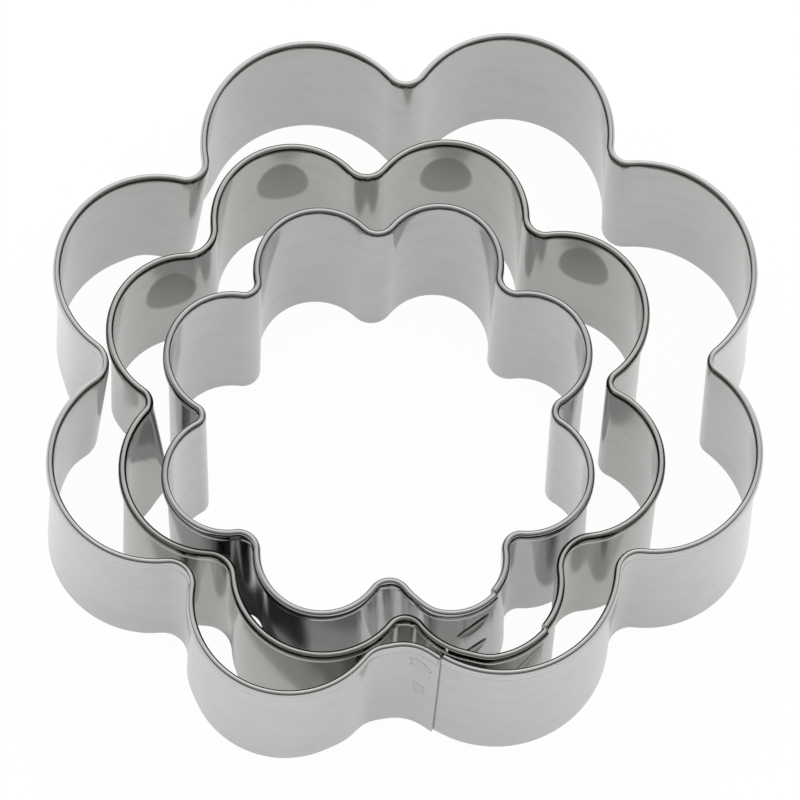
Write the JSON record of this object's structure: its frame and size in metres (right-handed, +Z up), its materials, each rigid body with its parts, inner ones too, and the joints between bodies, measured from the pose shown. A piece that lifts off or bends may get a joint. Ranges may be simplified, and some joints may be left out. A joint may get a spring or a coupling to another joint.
{
  "type": "nested flower cutter set",
  "caption": "Nested set of flower-shaped dough cutters, each a thin steel strip bent into petals, with a folded hem on top, a sharp edge below and a lapped, spot-welded seam.",
  "frame": {"origin": "on the table face the set stands on, in the middle of the outer cutter's footprint", "axes": "+Z up, away from the table, square to the cutting edges; -Y towards the side where the seams are"},
  "size_m": [0.0804, 0.0806, 0.028],
  "materials": {
    "strip_steel": "satin rolled stainless steel",
    "weld_steel": "dull, pressed and lightly tinted by the weld's heat"
  },
  "bodies": {
    "outer_cutter": {"outer_strip": "strip_steel", "outer_spot_welds": "weld_steel"},
    "middle_cutter": {"middle_strip": "strip_steel", "middle_spot_welds": "weld_steel"},
    "inner_cutter": {"inner_strip": "strip_steel", "inner_spot_welds": "weld_steel"}
  },
  "joints": [
    {"name": "middle_lift", "type": "slide", "parent": "outer_cutter", "child": "middle_cutter", "axis": [0, 0, 1], "range_m": [0, 0.03]},
    {"name": "inner_lift", "type": "slide", "parent": "outer_cutter", "child": "inner_cutter", "axis": [0, 0, 1], "range_m": [0, 0.03]}
  ]
}
